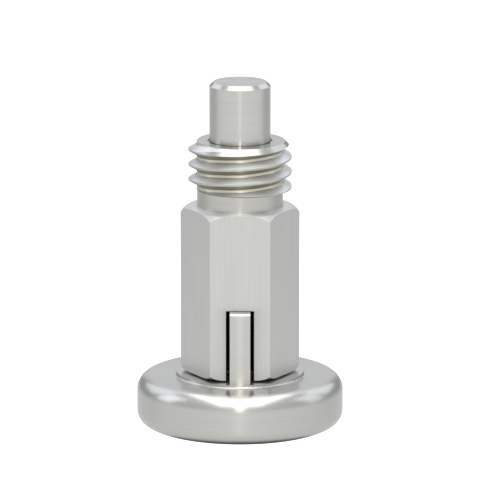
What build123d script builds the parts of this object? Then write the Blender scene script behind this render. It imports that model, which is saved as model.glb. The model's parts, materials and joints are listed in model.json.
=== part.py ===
"""Locking spring plunger with a hexagon body, a relieved M12 thread, a round index pin and a turned pull knob.

The plunger stands on its knob. Z = 0 is the knob's flat base, +Z runs up through the hexagon, the thread and
the index pin, and the locking slot runs along Y. Lengths are millimetres and angles are degrees.
"""

from build123d import *
from math import cos, radians, sin, sqrt, tan
import os

# ---------------------------------------------------------------- pull knob
knob_diameter = 24.0
knob_thickness = 5.8
knob_top_round = 1.75
knob_base_round = 1.6
hub_diameter = 14.8
hub_height = 0.4
hub_root_fillet = 0.2

# --------------------------------------------- locking tongues and their slot
tongue_width = 2.36
tongue_end_gap = 0.06
tongue_tip_chamfer = 0.2
slot_width = 3.25
slot_depth = 8.25

# -------------------------------------------------------------- hexagon body
hex_across_flats = 12.0
hex_corner_round = 0.15
hex_length = 19.5
hex_front_round_width = 1.43
hex_front_round_drop = 0.88
hex_rear_round_width = 0.73
hex_rear_round_drop = 0.57
spring_floor_thickness = 1.6

# ---------------------------------------------------- relief neck and thread
neck_diameter = 9.96
neck_length = 2.06
barrel_length = 7.6
thread_diameter = 12.0
thread_pitch = 1.75
thread_included_angle = 60.0
thread_depth = 1.0
thread_start_angle = 143.0
thread_end_circle = 10.5
thread_end_angle = 45.0

# ------------------------------------------------------------------ index pin
nose_diameter = 7.1
nose_projection = 6.93
nose_chamfer = 0.45
guide_diameter = 7.44
guide_length = 3.75
guide_recess = 0.15
stem_diameter = 4.0
stem_seat_height = 5.0
stem_thread_diameter = 3.0
stem_thread_length = 3.2
stem_end_chamfer = 0.3

# ----------------------------------------------------------- running clearances
hub_clearance = 0.2
guide_clearance = 0.03
stem_clearance = 0.05
tapped_hole_clearance = 0.02
tapped_hole_runout = 0.5

# ---------------------------------------------------------------- return spring
wire_diameter = 0.7
coil_mean_diameter = 5.9
active_turns = 4
closed_pitch = 0.76
ground_depth = 0.25

# -------------------------------------- heights and radii that follow from these
hub_top = knob_thickness + hub_height
hex_rear = hub_top + hub_clearance
hex_top = hex_rear + hex_length
neck_top = hex_top + neck_length
barrel_top = hex_top + barrel_length
pin_tip = barrel_top + nose_projection
slot_root = hex_rear + slot_depth
tongue_top = slot_root - tongue_end_gap
spring_seat = slot_root + spring_floor_thickness
guide_top = barrel_top - guide_recess
guide_back = guide_top - guide_length

knob_radius = knob_diameter / 2
hub_radius = hub_diameter / 2
neck_radius = neck_diameter / 2
thread_radius = thread_diameter / 2
nose_radius = nose_diameter / 2
guide_radius = guide_diameter / 2
bore_radius = guide_radius + guide_clearance
stem_radius = stem_diameter / 2
stem_hole_radius = stem_radius + stem_clearance
stem_thread_radius = stem_thread_diameter / 2
hex_corner_radius = hex_across_flats / 2 / cos(radians(30))

# ------------------------------------------------------------- threaded barrel
# A V thread with a flat crest of an eighth of the pitch and a rounded root. Its cross-section turns by one full
# turn per pitch along the axis, so an axial distance from the groove's centre shows in that section as an angle.
half_angle = radians(thread_included_angle / 2)
groove_half_width = thread_pitch * 7 / 16
sharp_depth = groove_half_width / tan(half_angle)
root_round = (sharp_depth - thread_depth) / (1 / sin(half_angle) - 1)
root_centre_radius = thread_radius - thread_depth + root_round
flank_foot_radius = root_centre_radius - root_round * sin(half_angle)
flank_foot_half_width = root_round * cos(half_angle)
curve_fractions = [step / 8 for step in range(9)]
bevel_outer_radius = thread_radius + thread_depth
bevel_drop = (bevel_outer_radius - thread_end_circle / 2) * tan(radians(thread_end_angle))


def groove_point(radius, axial_offset):
    """Point of the cross-section at a radius and at an axial distance from the groove's centre."""
    return Vector(radius, 0).rotate(Axis.Z, thread_start_angle + 360 * axial_offset / thread_pitch)


def flank_point(side, fraction):
    """Point of a flank, from its foot at fraction 0 to the crest at fraction 1."""
    radius = flank_foot_radius + (thread_radius - flank_foot_radius) * fraction
    half_width = flank_foot_half_width + (groove_half_width - flank_foot_half_width) * fraction
    return groove_point(radius, side * half_width)


def root_point(fraction):
    """Point of the rounded root, from the lower flank's foot at 0 to the upper flank's foot at 1."""
    axial_offset = flank_foot_half_width * (2 * fraction - 1)
    return groove_point(root_centre_radius - sqrt(root_round**2 - axial_offset**2), axial_offset)


with BuildPart() as threaded_barrel:
    with BuildLine():
        barrel_axis = Line((0, 0, neck_top), (0, 0, barrel_top))
    with BuildLine():
        turning_guide = Helix(thread_pitch, barrel_top - neck_top, thread_radius, center=(0, 0, neck_top))
    with BuildSketch(Plane.XY.offset(neck_top)):
        with BuildLine():
            lower_flank = Spline(*[flank_point(-1, fraction) for fraction in curve_fractions])
            Spline(*[root_point(fraction) for fraction in curve_fractions])
            upper_flank = Spline(*[flank_point(1, fraction) for fraction in curve_fractions])
            ThreePointArc(upper_flank @ 1, groove_point(thread_radius, thread_pitch / 2), lower_flank @ 1)
        make_face()
    sweep(path=barrel_axis, binormal=turning_guide.edge())
    with BuildSketch(Plane.XZ):
        with BuildLine():
            Polyline(
                (0, neck_top),
                (bevel_outer_radius, neck_top),
                (bevel_outer_radius, barrel_top - bevel_drop),
                (thread_end_circle / 2, barrel_top),
                (0, barrel_top),
                close=True,
            )
        make_face()
    revolve(axis=Axis.Z, mode=Mode.INTERSECT)

# ------------------------------------------------------------------- hex body
# Hexagon bar with both ends rounded off, a relief neck and the threaded barrel on top. It is bored from
# the front for the pin and its spring, drilled through for the stem and slotted across its rear end.
front_face_radius = hex_corner_radius - hex_front_round_width
rear_face_radius = hex_corner_radius - hex_rear_round_width
front_round_foot = (hex_corner_radius, hex_top - hex_front_round_drop)
rear_round_head = (hex_corner_radius, hex_rear + hex_rear_round_drop)

with BuildPart() as hex_body:
    with BuildSketch(Plane.XY.offset(hex_rear)) as hex_bar:
        RegularPolygon(radius=hex_across_flats / 2, side_count=6, major_radius=False)
        fillet(hex_bar.vertices(), radius=hex_corner_round)
    extrude(amount=hex_length)
    with BuildSketch(Plane.XZ):
        with BuildLine():
            rear_face = Line((0, hex_rear), (rear_face_radius, hex_rear))
            rear_round = TangentArc(rear_face @ 1, rear_round_head, tangent=(1, 0))
            Line(rear_round @ 1, front_round_foot)
            front_round = TangentArc((front_face_radius, hex_top), front_round_foot, tangent=(1, 0))
            front_face = Line(front_round @ 0, (0, hex_top))
            Line(front_face @ 1, rear_face @ 0)
        make_face()
    revolve(axis=Axis.Z, mode=Mode.INTERSECT)
    with BuildSketch(Plane.XY.offset(hex_top)):
        Circle(neck_radius)
    extrude(amount=neck_length)
    add(threaded_barrel.part)
    with BuildSketch(Plane.XY.offset(spring_seat)):
        Circle(bore_radius)
    extrude(amount=barrel_top - spring_seat, mode=Mode.SUBTRACT)
    with BuildSketch(Plane.XY.offset(hex_rear)):
        Circle(stem_hole_radius)
    extrude(amount=spring_seat - hex_rear, mode=Mode.SUBTRACT)
    with BuildSketch(Plane.XY.offset(hex_rear)):
        Rectangle(slot_width, 2 * hex_corner_radius)
    extrude(amount=slot_depth, mode=Mode.SUBTRACT)
hex_body.part.label = "hex_body"

# ------------------------------------------------------------------ index pin
# One turned pin: chamfered nose, guide land, long stem and a threaded end that screws into the knob.
stem_end = stem_seat_height - stem_thread_length

with BuildPart() as index_pin:
    with BuildSketch(Plane.XZ):
        with BuildLine():
            Polyline(
                (0, stem_end),
                (stem_thread_radius - stem_end_chamfer, stem_end),
                (stem_thread_radius, stem_end + stem_end_chamfer),
                (stem_thread_radius, stem_seat_height),
                (stem_radius, stem_seat_height),
                (stem_radius, guide_back),
                (guide_radius, guide_back),
                (guide_radius, guide_top),
                (nose_radius, guide_top),
                (nose_radius, pin_tip - nose_chamfer),
                (nose_radius - nose_chamfer, pin_tip),
                (0, pin_tip),
                close=True,
            )
        make_face()
    revolve(axis=Axis.Z)
index_pin.part.label = "index_pin"

# -------------------------------------------------------------- return spring
# Compression spring between the body's inner floor and the back of the guide land. Its end turns are closed and
# ground flat. Each turn's section lies in a plane through the axis, so the three stretches meet face to face.
coil_radius = coil_mean_diameter / 2
wire_radius = wire_diameter / 2
coil_start = spring_seat + wire_radius - ground_depth
active_start = coil_start + closed_pitch
active_end = guide_back - wire_radius + ground_depth - closed_pitch
active_pitch = (active_end - active_start) / active_turns
coil_stretches = [
    (coil_start, closed_pitch, 1),
    (active_start, active_pitch, active_turns),
    (active_end, closed_pitch, 1),
]

with BuildPart() as return_spring:
    for start, pitch, turns in coil_stretches:
        with BuildLine() as coil_path:
            Helix(pitch, turns * pitch, coil_radius, center=(0, 0, start))
        with BuildSketch(Plane.XZ):
            with Locations((coil_radius, start)):
                Circle(wire_radius)
        sweep(path=coil_path.wire(), is_frenet=True)
    with BuildSketch(Plane.XY.offset(spring_seat)):
        Circle(coil_radius + wire_diameter)
    extrude(amount=guide_back - spring_seat, mode=Mode.INTERSECT)
return_spring.part.label = "return_spring"

# ------------------------------------------------------------------ pull knob
# One turned piece: a round-edged disc and a tall boss, milled on two sides so that two locking tongues are left.
tongue_height = tongue_top - hub_top

with BuildPart() as pull_knob:
    with BuildSketch(Plane.XZ):
        with BuildLine():
            base = Line((0, 0), (knob_radius - knob_base_round, 0))
            base_round = TangentArc(base @ 1, (knob_radius, knob_base_round), tangent=(1, 0))
            rim = Line(base_round @ 1, (knob_radius, knob_thickness - knob_top_round))
            top_round = TangentArc(rim @ 1, (knob_radius - knob_top_round, knob_thickness), tangent=(0, 1))
            face = Line(top_round @ 1, (hub_radius + hub_root_fillet, knob_thickness))
            root = RadiusArc(face @ 1, (hub_radius, knob_thickness + hub_root_fillet), hub_root_fillet)
            boss = Line(root @ 1, (hub_radius, tongue_top - tongue_tip_chamfer))
            tip = Line(boss @ 1, (hub_radius - tongue_tip_chamfer, tongue_top))
            end = Line(tip @ 1, (0, tongue_top))
            Line(end @ 1, base @ 0)
        make_face()
    revolve(axis=Axis.Z)
    milled_depth = (hub_diameter - tongue_width) / 2
    with BuildSketch(Plane.XY.offset(hub_top)):
        with GridLocations(tongue_width + milled_depth, 0, 2, 1):
            Rectangle(milled_depth, hub_diameter)
    extrude(amount=tongue_height, mode=Mode.SUBTRACT)
    with BuildSketch(Plane.XY.offset(stem_seat_height)):
        Circle(stem_hole_radius)
    extrude(amount=tongue_top - stem_seat_height, mode=Mode.SUBTRACT)
    with BuildSketch(Plane.XY.offset(stem_end - tapped_hole_runout)):
        Circle(stem_thread_radius + tapped_hole_clearance)
    extrude(amount=stem_thread_length + tapped_hole_runout, mode=Mode.SUBTRACT)
pull_knob.part.label = "pull_knob"

# ---------------------------------------------------------------- STEP files
os.makedirs("parts", exist_ok=True)
export_step(hex_body.part, "parts/hex_body.step")
export_step(index_pin.part, "parts/index_pin.step")
export_step(return_spring.part, "parts/return_spring.step")
export_step(pull_knob.part, "parts/pull_knob.step")
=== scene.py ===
"""Studio scene of a locking spring plunger in stainless steel.

The plunger stands on its pull knob, with its index pin up. Lengths are metres unless a name ends in _mm.
"""

import json
import logging
from dataclasses import dataclass
from enum import Enum
from math import cos, radians, sin, tau

import bmesh
import bpy
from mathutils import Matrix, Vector


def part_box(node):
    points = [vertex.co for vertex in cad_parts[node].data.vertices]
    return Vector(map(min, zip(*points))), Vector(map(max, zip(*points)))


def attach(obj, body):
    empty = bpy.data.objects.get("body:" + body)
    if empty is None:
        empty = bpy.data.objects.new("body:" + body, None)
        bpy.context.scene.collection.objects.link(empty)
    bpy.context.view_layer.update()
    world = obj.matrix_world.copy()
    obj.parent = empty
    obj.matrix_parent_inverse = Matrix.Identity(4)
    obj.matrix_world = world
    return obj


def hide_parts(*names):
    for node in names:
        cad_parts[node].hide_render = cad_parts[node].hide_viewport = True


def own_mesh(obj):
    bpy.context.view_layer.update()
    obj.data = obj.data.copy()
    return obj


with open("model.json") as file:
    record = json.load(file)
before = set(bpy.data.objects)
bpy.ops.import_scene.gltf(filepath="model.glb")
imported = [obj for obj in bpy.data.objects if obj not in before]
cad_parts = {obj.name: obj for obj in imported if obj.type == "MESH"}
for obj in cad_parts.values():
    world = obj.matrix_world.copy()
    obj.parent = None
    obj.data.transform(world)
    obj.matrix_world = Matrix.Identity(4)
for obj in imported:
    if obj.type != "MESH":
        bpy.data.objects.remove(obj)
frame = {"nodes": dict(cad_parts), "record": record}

MM = 0.001
Tree = bpy.types.NodeTree
Socket = bpy.types.NodeSocket
Share = bpy.types.NodeSocket | float
Test = tuple[bpy.types.NodeSocket, str, float]
log = logging.getLogger("spring_plunger")


# ---------------------------------------------------------------- small tools
def linear_colour(hex_value: str) -> tuple[float, float, float, float]:
    """Turns an sRGB hex value into a linear colour.

    Args:
        hex_value: the colour as six hex digits, with or without a leading #.

    Returns:
        Linear red, green and blue, and an alpha of 1.
    """
    digits = hex_value.lstrip("#")
    channels = [int(digits[start:start + 2], 16) / 255 for start in (0, 2, 4)]
    linear = [c / 12.92 if c <= 0.04045 else ((c + 0.055) / 1.055) ** 2.4 for c in channels]
    return (linear[0], linear[1], linear[2], 1.0)


def add_node(tree: Tree, kind: str, inputs: dict | None = None, **settings: object) -> bpy.types.Node:
    """Adds a node with its settings and links.

    The ends of a Mix node are its inputs 2 and 3 for numbers, 4 and 5 for vectors, and 6 and 7 for colours.

    Args:
        tree: the node tree that the node goes into.
        kind: the node's type, without its ShaderNode prefix.
        inputs: values or output sockets for the node's inputs, by name or number.
        settings: attributes of the node, by name.

    Returns:
        The new node.
    """
    node = tree.nodes.new("ShaderNode" + kind)
    for name, value in settings.items():
        setattr(node, name, value)
    for key, value in (inputs or {}).items():
        if isinstance(value, Socket):
            tree.links.new(value, node.inputs[key])
        else:
            node.inputs[key].default_value = value
    return node


def new_object(name: str, mesh: bmesh.types.BMesh, smooth: bool = True) -> bpy.types.Object:
    """Makes a scene object from a bmesh and frees the bmesh.

    Args:
        name: the object's name.
        mesh: its faces, in the row frame.
        smooth: whether its faces are shaded smooth.

    Returns:
        The new object, linked to the scene.
    """
    bmesh.ops.recalc_face_normals(mesh, faces=mesh.faces)
    data = bpy.data.meshes.new(name)
    mesh.to_mesh(data)
    mesh.free()
    data.polygons.foreach_set("use_smooth", [smooth] * len(data.polygons))
    made = bpy.data.objects.new(name, data)
    bpy.context.scene.collection.objects.link(made)
    return made


# ------------------------------------------------------------------- finishes
class Grain(Enum):
    """Which way the fine tool marks run, and what they do to a highlight."""

    TURNED = "rings round the axis, which stretch a highlight up and down"
    TURNED_FROM_BAR = "rings, and on the flats of the bar lines along it, which spread a highlight sideways"


@dataclass(frozen=True)
class Surface:
    """What a finish is worked out from: the place on the surface and its normal, as sockets of one node tree.

    The place is in the row frame, and flat is the same place at height 0. The radius is from the axis.
    """

    tree: Tree
    place: Socket
    across: Socket
    height: Socket
    flat: Socket
    radius: Socket
    normal: Socket
    turn: Socket
    rise: Socket

    @classmethod
    def read(cls, tree: Tree) -> "Surface":
        """Adds the nodes that read the surface.

        Args:
            tree: the material's node tree.

        Returns:
            The place and the normal with their parts: across and turn are along X, height and rise along Z.
        """
        place = add_node(tree, "TexCoord").outputs["Object"]
        place_parts = add_node(tree, "SeparateXYZ", {0: place}).outputs
        flat = add_node(tree, "VectorMath", {0: place, 1: (1.0, 1.0, 0.0)}, operation="MULTIPLY").outputs[0]
        radius = add_node(tree, "VectorMath", {0: flat}, operation="LENGTH").outputs["Value"]
        normal = add_node(tree, "NewGeometry").outputs["Normal"]
        normal_parts = add_node(tree, "SeparateXYZ", {0: normal}).outputs
        return cls(
            tree, place, across=place_parts[0], height=place_parts[2], flat=flat, radius=radius,
            normal=normal, turn=normal_parts[0], rise=normal_parts[2],
        )


@dataclass(frozen=True)
class StainlessFinish:
    """Austenitic stainless steel, as one way of working leaves its surface.

    The steel is a warm mid grey that reflects a little over half of the light. Its tool marks are finer than
    a render shows, so their spread is in the anisotropy, and the coarsest of them are drawn as faint streaks.
    A rise is the upward part of the normal, and a turn its part along X, where one kind of surface ends and
    another begins.
    """

    name: str
    roughness: float
    grain: Grain = Grain.TURNED
    bar_end: float = 0.0
    thread_span: tuple[float, float] = (0.0, 0.0)
    turned_tone: str = "#C3C2BE"
    drawn_tone: str = "#CECECA"
    # Paler tone of the upward flanks and rounded ends: a painted highlight, on a surface that is also more
    # matt.
    matt_and_highlight_tone: str = "#E2E2DF"
    # Warm tone of the rounded roots of the thread: a painted highlight.
    root_highlight_tone: str = "#DDD8C8"
    # Dark tone of the downward flanks of the thread: painted shade.
    painted_flank_shade_tone: str = "#8C897B"
    # Dark tone of the sides of the slot and its tongues: painted shade.
    painted_slot_shade_tone: str = "#4A4945"
    tone_swing: float = 0.05
    drawn_roughness: float = 0.4
    dulled_roughness: float = 0.42
    roughness_swing: float = 0.03
    anisotropy: float = 0.8
    mark_spacing_mm: float = 0.25
    mark_length_mm: float = 12.0
    mark_depth_mm: float = 0.0006
    streak_contrast: tuple[float, float] = (0.25, 0.75)
    streak_detail: float = 3.0
    streak_roughness: float = 0.6
    turned_rise: float = 0.2
    rounded_rise: float = 0.1
    flank_rise: float = 0.78
    root_rise: float = 0.6
    root_limits_mm: tuple[float, float] = (4.5, 5.3)
    painted_flank_shade_rise: float = -0.3
    slot_turn: float = 0.95
    slot_limit_mm: float = 1.7

    def build(self) -> bpy.types.Material:
        """Builds the node material.

        Returns:
            The material, with one Principled shader.
        """
        material = bpy.data.materials.new(self.name)
        material.use_nodes = True
        tree = material.node_tree
        tree.nodes.clear()
        surface = Surface.read(tree)
        turned = self.turned_share(surface)
        streaks = self.streaks(surface, turned)
        worked, even = self.worked_surface(surface, turned)
        low, high = self.streak_contrast
        span = {"From Min": low, "From Max": high}
        swing = {"To Min": 1 - self.tone_swing, "To Max": 1 + self.tone_swing}
        tone = add_node(tree, "MapRange", {"Value": streaks, **span, **swing}).outputs[0]
        marked = add_node(tree, "VectorMath", {0: worked, "Scale": tone}, operation="SCALE").outputs[0]
        # Painted shade darkens the sides of the slot and its tongues.
        slot_shade = linear_colour(self.painted_slot_shade_tone)
        colour = add_node(tree, "Mix", {0: self.slot_share(surface), 6: marked, 7: slot_shade}, data_type="RGBA")
        swing = {"To Min": self.roughness_swing, "To Max": -self.roughness_swing}
        change = add_node(tree, "MapRange", {"Value": streaks, **swing}).outputs[0]
        roughness = add_node(tree, "Math", {0: even, 1: change}, operation="ADD")
        depth = self.mark_depth_mm * MM
        bump = add_node(tree, "Bump", {"Strength": 1.0, "Distance": depth, "Height": streaks})
        shader = add_node(
            tree, "BsdfPrincipled",
            {
                "Base Color": colour.outputs[2],
                "Metallic": 1.0,
                "Roughness": roughness.outputs[0],
                "Normal": bump.outputs[0],
                "Tangent": self.spread_direction(surface, turned),
                "Anisotropic": self.anisotropy,
            },
        )
        add_node(tree, "OutputMaterial", {"Surface": shader.outputs[0]})
        return material

    def worked_surface(self, surface: Surface, turned: Share) -> tuple[Socket, Socket]:
        """Adds the tone and the roughness that each way of working leaves, before the streaks. On a bar it
        also paints highlights on the upward flanks, the rounded ends and the roots, and shade on the downward
        flanks.

        Args:
            surface: the surface that is finished.
            turned: 1 where the surface is turned and 0 where it is drawn.

        Returns:
            The tone and the roughness.
        """
        tree = surface.tree
        ends = {6: linear_colour(self.drawn_tone), 7: linear_colour(self.turned_tone)}
        tone = add_node(tree, "Mix", {0: turned, **ends}, data_type="RGBA").outputs[2]
        limits = {"To Min": self.drawn_roughness, "To Max": self.roughness}
        roughness = add_node(tree, "MapRange", {"Value": turned, **limits}).outputs[0]
        if self.grain is Grain.TURNED:
            return tone, roughness
        matt_and_highlight = self.matt_and_highlight_share(surface)
        root = self.root_share(surface)
        painted_flank_shade = self.painted_flank_shade_share(surface)
        duller = add_node(tree, "Math", {0: matt_and_highlight, 1: root}, operation="MAXIMUM").outputs[0]
        roughness = add_node(tree, "Mix", {0: duller, 2: roughness, 3: self.dulled_roughness}).outputs[0]
        # Paints the highlights on the upward flanks, rounded ends and roots, and the shade on the downward
        # flanks, into the tone.
        for share, shade in ((matt_and_highlight, self.matt_and_highlight_tone), (root, self.root_highlight_tone), (painted_flank_shade, self.painted_flank_shade_tone)):
            ends = {6: tone, 7: linear_colour(shade)}
            tone = add_node(tree, "Mix", {0: share, **ends}, data_type="RGBA").outputs[2]
        return tone, roughness

    def turned_share(self, surface: Surface) -> Share:
        """Says where the surface is turned.

        Args:
            surface: the surface that is finished.

        Returns:
            1 on turned surfaces and 0 on drawn ones. A bar is drawn on its upright sides below bar_end.
        """
        if self.grain is Grain.TURNED:
            return 1.0
        tree = surface.tree
        tilt = add_node(tree, "Math", {0: surface.rise}, operation="ABSOLUTE").outputs[0]
        past_bar, tilted = (
            add_node(tree, "Math", {0: value, 1: limit}, operation="GREATER_THAN").outputs[0]
            for value, limit in ((surface.height, self.bar_end), (tilt, self.turned_rise))
        )
        return add_node(tree, "Math", {0: past_bar, 1: tilted}, operation="MAXIMUM").outputs[0]

    def matt_and_highlight_share(self, surface: Surface) -> Share:
        """Says where a chasing or rounding tool has left the surface more matt than turning does, and where a
        paler highlight is painted on it.

        Args:
            surface: the surface that is finished.

        Returns:
            1 on the upward flanks of the thread and on the rounded ends of the bar, and 0 elsewhere.
        """
        upward = (surface.rise, "GREATER_THAN", self.flank_rise)
        flank = self.all_of(surface.tree, upward, *self.in_thread(surface))
        rounded = self.all_of(
            surface.tree,
            (surface.rise, "GREATER_THAN", self.rounded_rise),
            (surface.height, "LESS_THAN", self.bar_end),
        )
        return add_node(surface.tree, "Math", {0: flank, 1: rounded}, operation="MAXIMUM").outputs[0]

    def root_share(self, surface: Surface) -> Share:
        """Says where the surface is the rounded root of the thread, which gets a warm painted highlight.

        Args:
            surface: the surface that is finished.

        Returns:
            1 in the roots and 0 elsewhere.
        """
        inner, outer = (limit * MM for limit in self.root_limits_mm)
        return self.all_of(
            surface.tree,
            (surface.rise, "LESS_THAN", self.root_rise),
            (surface.radius, "GREATER_THAN", inner),
            (surface.radius, "LESS_THAN", outer),
            *self.in_thread(surface),
        )

    def painted_flank_shade_share(self, surface: Surface) -> Share:
        """Says where the surface is a downward flank of the thread, which gets a darker painted shade.

        Args:
            surface: the surface that is finished.

        Returns:
            1 on the downward flanks and 0 elsewhere.
        """
        downward = (surface.rise, "LESS_THAN", self.painted_flank_shade_rise)
        return self.all_of(surface.tree, downward, *self.in_thread(surface))

    def slot_share(self, surface: Surface) -> Share:
        """Says where the surface faces along X within the slot's width.

        Args:
            surface: the surface that is finished.

        Returns:
            1 on the sides of the slot and of its tongues, which get a dark painted shade, and 0 elsewhere.
        """
        turn, across = (
            add_node(surface.tree, "Math", {0: part}, operation="ABSOLUTE").outputs[0]
            for part in (surface.turn, surface.across)
        )
        return self.all_of(
            surface.tree,
            (turn, "GREATER_THAN", self.slot_turn),
            (across, "LESS_THAN", self.slot_limit_mm * MM),
        )

    def in_thread(self, surface: Surface) -> tuple[Test, Test]:
        """Returns the two tests that hold between the ends of the thread."""
        bottom, top = self.thread_span
        return (surface.height, "GREATER_THAN", bottom), (surface.height, "LESS_THAN", top)

    @staticmethod
    def all_of(tree: Tree, *tests: Test) -> Share:
        """Joins tests on the surface into one mask.

        Args:
            tree: the material's node tree.
            tests: a value, a comparison as Blender names it, and the limit, for each test.

        Returns:
            1 where every test holds and 0 elsewhere.
        """
        share = 1.0
        for value, comparison, limit in tests:
            holds = add_node(tree, "Math", {0: value, 1: limit}, operation=comparison).outputs[0]
            share = add_node(tree, "Math", {0: share, 1: holds}, operation="MULTIPLY").outputs[0]
        return share

    def spread_direction(self, surface: Surface, turned: Share) -> Socket:
        """Adds the direction in which a highlight spreads, which is across the tool marks.

        Args:
            surface: the surface that is finished.
            turned: 1 where the surface is turned and 0 where it is drawn.

        Returns:
            The direction, sideways on a drawn surface and up the profile on a turned one.
        """
        tree = surface.tree
        sideways = add_node(tree, "Tangent", direction_type="RADIAL", axis="Z").outputs[0]
        cross = {0: surface.normal, 1: sideways}
        upwards = add_node(tree, "VectorMath", cross, operation="CROSS_PRODUCT").outputs[0]
        return add_node(tree, "Mix", {0: turned, 4: sideways, 5: upwards}, data_type="VECTOR").outputs[1]

    def streaks(self, surface: Surface, turned: Share) -> Socket:
        """Adds the streak pattern of this finish.

        Args:
            surface: the surface that is finished.
            turned: 1 where the surface is turned and 0 where it is drawn.

        Returns:
            A value from 0 to 1 that changes quickly across the marks and slowly along them.
        """
        tree = surface.tree
        across = 1 / (self.mark_spacing_mm * MM)
        along = 1 / (self.mark_length_mm * MM)
        stretch = {0: surface.place, 1: (across, across, along)}
        lines = add_node(tree, "VectorMath", stretch, operation="MULTIPLY").outputs[0]
        profile = add_node(tree, "CombineXYZ", {0: surface.radius, 2: surface.height}).outputs[0]
        rings = add_node(tree, "VectorMath", {0: profile, "Scale": across}, operation="SCALE").outputs[0]
        drift = add_node(tree, "VectorMath", {0: surface.flat, "Scale": along}, operation="SCALE").outputs[0]
        grooves = add_node(tree, "VectorMath", {0: rings, 1: drift}, operation="ADD").outputs[0]
        marks = add_node(tree, "Mix", {0: turned, 4: lines, 5: grooves}, data_type="VECTOR").outputs[1]
        weave = {"Scale": 1.0, "Detail": self.streak_detail, "Roughness": self.streak_roughness}
        return add_node(tree, "TexNoise", {"Vector": marks, **weave}).outputs[0]


# -------------------------------------------------------------- sub-assemblies
@dataclass
class HexagonBody:
    """The bored and slotted hexagon body with its neck and thread.

    Its flats stay as drawn, with faint lines along them. All that is turned is a little darker and glossier.
    """

    seat_height: float
    thread_span: tuple[float, float]
    seat_margin: float = 0.01 * MM
    thread_margin: float = 0.05 * MM

    def dress(self) -> bpy.types.Object:
        """Gives the CAD body its finish.

        Returns:
            The body's object.
        """
        bottom, top = self.thread_span
        finish = StainlessFinish(
            "turned_stainless_hexagon_bar",
            roughness=0.24,
            grain=Grain.TURNED_FROM_BAR,
            bar_end=self.seat_height + self.seat_margin,
            thread_span=(bottom + self.thread_margin, top - self.thread_margin),
            turned_tone="#BDBCB7",
            mark_spacing_mm=0.13,
            mark_depth_mm=0.0003,
        )
        return dress_node("hex_body", finish)


@dataclass
class IndexPin:
    """The index pin, ground so fine that its rings hardly show and its highlights stay smooth."""

    finish: StainlessFinish = StainlessFinish(
        "ground_stainless_steel",
        roughness=0.22,
        tone_swing=0.03,
        roughness_swing=0.015,
        mark_length_mm=60.0,
        mark_depth_mm=0.00005,
    )

    def dress(self) -> bpy.types.Object:
        """Gives the CAD pin its finish and returns it."""
        return dress_node("index_pin", self.finish)


@dataclass
class PullKnob:
    """The turned pull knob with its two locking tongues. Faint rings run all the way round it."""

    finish: StainlessFinish = StainlessFinish(
        "turned_stainless_steel",
        roughness=0.27,
        tone_swing=0.03,
        roughness_swing=0.015,
        mark_spacing_mm=0.2,
        mark_length_mm=60.0,
        mark_depth_mm=0.00008,
    )

    def dress(self) -> bpy.types.Object:
        """Gives the CAD knob its finish and returns it."""
        return dress_node("pull_knob", self.finish)


@dataclass
class ReturnSpring:
    """The compression spring between the body's floor and the pin's guide land.

    The drawing die's marks run along the wire, so they too are rings round the axis.
    """

    knob_travel: float
    wire_diameter: float = 0.7 * MM
    closed_pitch: float = 0.76 * MM
    ground_depth: float = 0.25 * MM
    active_turns: int = 4
    closed_turns: int = 1
    steps_per_turn: int = 40
    sides: int = 12
    finish: StainlessFinish = StainlessFinish("drawn_spring_wire", roughness=0.35, turned_tone="#ACABA7")

    def build(self) -> bpy.types.Object:
        """Builds the spring in its seat, dresses it and ties it to the body.

        Returns:
            The spring, which stands for the CAD solid.
        """
        low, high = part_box("return_spring")
        mesh = bmesh.new()
        rings = [self.ring(mesh, turn, low, high) for turn in self.turn_steps()]
        for near, far in zip(rings, rings[1:]):
            for side in range(self.sides):
                after = (side + 1) % self.sides
                mesh.faces.new((near[side], near[after], far[after], far[side]))
        mesh.faces.new(rings[0])
        mesh.faces.new(list(reversed(rings[-1])))
        spring = new_object("return_spring_coil", mesh)
        spring.data.materials.append(self.finish.build())
        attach(spring, "body")
        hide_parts("return_spring")
        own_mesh(spring)
        return spring

    def turn_steps(self) -> list[float]:
        """Returns the turn numbers at which the wire gets a ring of points."""
        turns = self.active_turns + 2 * self.closed_turns
        return [step / self.steps_per_turn for step in range(turns * self.steps_per_turn + 1)]

    def height(self, turn: float, low: float, high: float) -> float:
        """Works out the height of the wire's centre after a number of turns.

        Args:
            turn: turns from the lower end.
            low: height of the ground lower end.
            high: height of the ground upper end.

        Returns:
            The height, with closed end turns and an even pitch between them.
        """
        start = low + self.wire_diameter / 2 - self.ground_depth
        end = high - self.wire_diameter / 2 + self.ground_depth
        active_pitch = (end - start - 2 * self.closed_turns * self.closed_pitch) / self.active_turns
        active = min(max(turn - self.closed_turns, 0), self.active_turns)
        return start + (turn - active) * self.closed_pitch + active * active_pitch

    def ring(
        self, mesh: bmesh.types.BMesh, turn: float, low: Vector, high: Vector
    ) -> list[bmesh.types.BMVert]:
        """Adds one ring of points round the wire.

        Args:
            mesh: the mesh that gets the points.
            turn: turns from the lower end.
            low: lowest corner of the CAD spring.
            high: highest corner of the CAD spring.

        Returns:
            The points, in order.
        """
        coil_radius = (high.x - low.x - self.wire_diameter) / 2
        centre = self.height(turn, low.z, high.z)
        points = []
        for side in range(self.sides):
            angle = tau * side / self.sides
            reach = coil_radius + self.wire_diameter / 2 * cos(angle)
            rise = min(max(centre + self.wire_diameter / 2 * sin(angle), low.z), high.z)
            points.append(mesh.verts.new((reach * cos(tau * turn), reach * sin(tau * turn), rise)))
        return points


def dress_node(node: str, finish: StainlessFinish) -> bpy.types.Object:
    """Puts a finish on every material slot of a CAD node.

    Args:
        node: the node's name.
        finish: the finish that it gets.

    Returns:
        The node's object.
    """
    piece = frame["nodes"][node]
    material = finish.build()
    for slot in piece.material_slots:
        slot.material = material
    return piece


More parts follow.
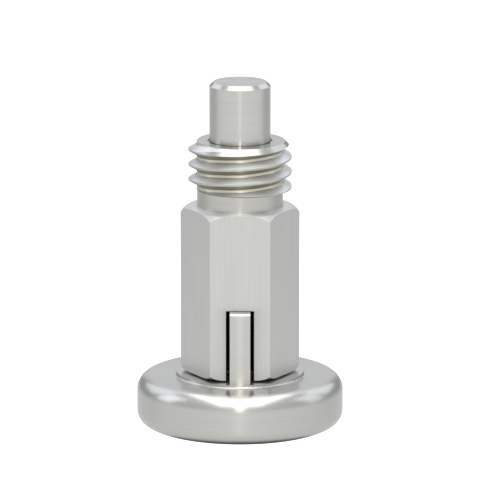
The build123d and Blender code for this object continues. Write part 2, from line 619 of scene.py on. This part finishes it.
# --------------------------------------------------------------------- studio
@dataclass(frozen=True)
class SoftLight:
    """A soft box, placed round the plunger by azimuth and elevation and aimed at its middle."""

    name: str
    azimuth: float
    elevation: float
    distance: float
    width: float
    height: float
    watts: float
    colour: str

    def build(self, middle: Vector) -> bpy.types.Object:
        """Adds the light.

        Args:
            middle: the point that it is aimed at.

        Returns:
            The light.
        """
        data = bpy.data.lights.new(self.name, "AREA")
        data.shape = "RECTANGLE"
        data.size = self.width
        data.size_y = self.height
        data.energy = self.watts
        data.color = linear_colour(self.colour)[:3]
        lamp = bpy.data.objects.new(self.name, data)
        away = direction(self.azimuth, self.elevation)
        lamp.location = middle + away * self.distance
        lamp.rotation_euler = away.to_track_quat("Z", "Y").to_euler()
        lamp.visible_camera = False
        bpy.context.scene.collection.objects.link(lamp)
        return lamp


def direction(azimuth: float, elevation: float) -> Vector:
    """Returns the unit vector from the plunger to an azimuth and elevation in degrees; azimuth 0 is -Y."""
    turn, rise = radians(azimuth), radians(elevation)
    return Vector((sin(turn) * cos(rise), -cos(turn) * cos(rise), sin(rise)))


@dataclass
class Studio:
    """White floor and surround, soft boxes overhead, at the sides and behind, and a strip over the camera.

    Floor and surround show to the camera as plain white. The levels called front, rear, rise and shade are
    what the metal sees of them.
    """

    knob_travel: float
    middle: Vector = Vector((0, 0, 19 * MM))
    camera_elevation: float = 12.95
    camera_distance: float = 0.6
    lens: float = 387.75
    sensor_width: float = 36.0
    vertical_shift: float = 0.0475
    plain_white: float = 1.05
    floor_radius: float = 3.0
    floor_sides: int = 96
    floor_gap: float = 0.3 * MM
    floor_tone: float = 0.3
    floor_front: float = 0.65
    floor_rear: float = 0.22
    fade_reach: float = 0.12
    shade_reach: tuple[float, float] = (11.2 * MM, 12.6 * MM)
    shade_light: float = 0.12
    surround_front: float = 0.85
    surround_rear: float = 0.42
    surround_rise: float = 0.36
    lights: tuple[SoftLight, ...] = (
        SoftLight("overhead_soft_box", 0, 80, 0.6, 0.6, 1.3, 4.2, "#F8FBFF"),
        SoftLight("left_soft_box", -95, 28, 0.8, 0.34, 0.6, 0.75, "#E9F2FF"),
        SoftLight("right_soft_box", 95, 28, 0.8, 0.34, 0.6, 0.5, "#E9F2FF"),
        SoftLight("strip_over_camera", 0, 22, 0.8, 0.07, 0.5, 0.55, "#FFF2DC"),
        SoftLight("rear_soft_box", 180, 30, 0.8, 0.5, 0.9, 0.6, "#F4F9FF"),
        SoftLight("rear_left_soft_box", -135, 33, 0.8, 0.5, 0.45, 0.62, "#E9F2FF"),
        SoftLight("rear_right_soft_box", 135, 33, 0.8, 0.5, 0.45, 0.62, "#E9F2FF"),
    )

    def build(self) -> None:
        """Adds floor, surround, lights and camera."""
        view = bpy.context.scene.view_settings
        view.view_transform = "Standard"
        view.look = "None"
        self.build_floor()
        self.build_world()
        for light in self.lights:
            light.build(self.middle)
        self.build_camera()

    def build_camera(self) -> bpy.types.Object:
        """Adds the camera and makes it the scene's own.

        Returns:
            The camera.
        """
        data = bpy.data.cameras.new("studio_camera")
        data.lens = self.lens
        data.sensor_width = self.sensor_width
        data.shift_y = self.vertical_shift
        camera = bpy.data.objects.new("studio_camera", data)
        away = direction(0, self.camera_elevation)
        camera.location = self.middle + away * self.camera_distance
        camera.rotation_euler = away.to_track_quat("Z", "Y").to_euler()
        bpy.context.scene.collection.objects.link(camera)
        bpy.context.scene.camera = camera
        return camera

    def build_floor(self) -> bpy.types.Object:
        """Adds the floor under the plunger, low enough to leave room for the pulled knob.

        Returns:
            The floor.
        """
        mesh = bmesh.new()
        bmesh.ops.create_circle(mesh, cap_ends=True, segments=self.floor_sides, radius=self.floor_radius)
        floor = new_object("studio_floor", mesh, smooth=False)
        floor.data.materials.append(self.build_paper())
        floor.location.z = -self.knob_travel - self.floor_gap
        return floor

    def build_paper(self) -> bpy.types.Material:
        """Builds the floor's white sweep paper.

        The metal sees it fade towards the rear, with a painted shade of the knob in the middle. It is clear
        from below.

        Returns:
            The material.
        """
        material = bpy.data.materials.new("white_sweep_paper")
        material.use_nodes = True
        tree = material.node_tree
        tree.nodes.clear()
        place = add_node(tree, "TexCoord").outputs["Object"]
        depth = add_node(tree, "SeparateXYZ", {0: place}).outputs[1]
        span = {"From Min": -self.fade_reach, "From Max": self.fade_reach}
        levels = {"To Min": self.floor_front, "To Max": self.floor_rear}
        fade = add_node(tree, "MapRange", {"Value": depth, **span, **levels}, interpolation_type="SMOOTHSTEP")
        spread = add_node(tree, "VectorMath", {0: place}, operation="LENGTH").outputs["Value"]
        near, far = self.shade_reach
        span = {"From Min": near, "From Max": far}
        # Painted shade of the knob: the glow and the paper darken near its rim.
        shade = add_node(tree, "MapRange", {"Value": spread, **span, "To Min": self.shade_light}).outputs[0]
        glow = add_node(tree, "Math", {0: fade.outputs[0], 1: shade}, operation="MULTIPLY")
        tone = add_node(tree, "MapRange", {"Value": shade, "To Min": 0.0, "To Max": self.floor_tone})
        paper = add_node(tree, "BsdfDiffuse", {"Color": tone.outputs[0]})
        seen = add_node(tree, "LightPath").outputs["Is Camera Ray"]
        levels = {"To Min": glow.outputs[0], "To Max": self.plain_white}
        strength = add_node(tree, "MapRange", {"Value": seen, **levels})
        light = add_node(tree, "Emission", {"Strength": strength.outputs[0]})
        lit = add_node(tree, "AddShader", {0: paper.outputs[0], 1: light.outputs[0]})
        below = add_node(tree, "NewGeometry").outputs["Backfacing"]
        clear = add_node(tree, "BsdfTransparent")
        one_sided = add_node(tree, "MixShader", {0: below, 1: lit.outputs[0], 2: clear.outputs[0]})
        add_node(tree, "OutputMaterial", {"Surface": one_sided.outputs[0]})
        return material

    def build_world(self) -> bpy.types.World:
        """Adds the white surround, which the metal sees fade towards the rear and brighten towards the top.

        Returns:
            The world.
        """
        world = bpy.data.worlds.new("white_surround")
        world.use_nodes = True
        tree = world.node_tree
        tree.nodes.clear()
        ray = add_node(tree, "SeparateXYZ", {0: add_node(tree, "TexCoord").outputs["Generated"]}).outputs
        levels = {"To Min": self.surround_front, "To Max": self.surround_rear}
        fade = add_node(tree, "MapRange", {"Value": ray[1], "From Min": -1.0, **levels})
        rise = add_node(tree, "MapRange", {"Value": ray[2], "To Max": self.surround_rise})
        glow = add_node(tree, "Math", {0: fade.outputs[0], 1: rise.outputs[0]}, operation="ADD")
        seen = add_node(tree, "LightPath").outputs["Is Camera Ray"]
        levels = {"To Min": glow.outputs[0], "To Max": self.plain_white}
        strength = add_node(tree, "MapRange", {"Value": seen, **levels})
        surround = add_node(tree, "Background", {"Strength": strength.outputs[0]})
        add_node(tree, "OutputWorld", {"Surface": surround.outputs[0]})
        bpy.context.scene.world = world
        return world


def main() -> None:
    """Builds the pieces in order, then the studio."""
    logging.basicConfig(level=logging.INFO, format="%(name)s: %(message)s")
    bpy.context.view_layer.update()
    mounts = {mount["name"]: mount for mount in frame["record"]["mounts"]}
    joints = {joint["name"]: joint for joint in frame["record"]["behaviour"]["joints"]}
    knob_travel = joints["knob_pull"]["range_m"][1]
    thread = mounts["m12_thread"]
    bottom, top = (thread["pos_m"][2] + side * thread["dims"]["length_mm"] * MM / 2 for side in (-1, 1))
    body = HexagonBody(mounts["seat_shoulder"]["pos_m"][2], (bottom, top))
    for piece in (body.dress(), IndexPin().dress(), ReturnSpring(knob_travel).build(), PullKnob().dress()):
        log.info("%s is dressed", piece.name)
    Studio(knob_travel).build()
    log.info("the studio is lit")


if __name__ == "__main__":
    main()
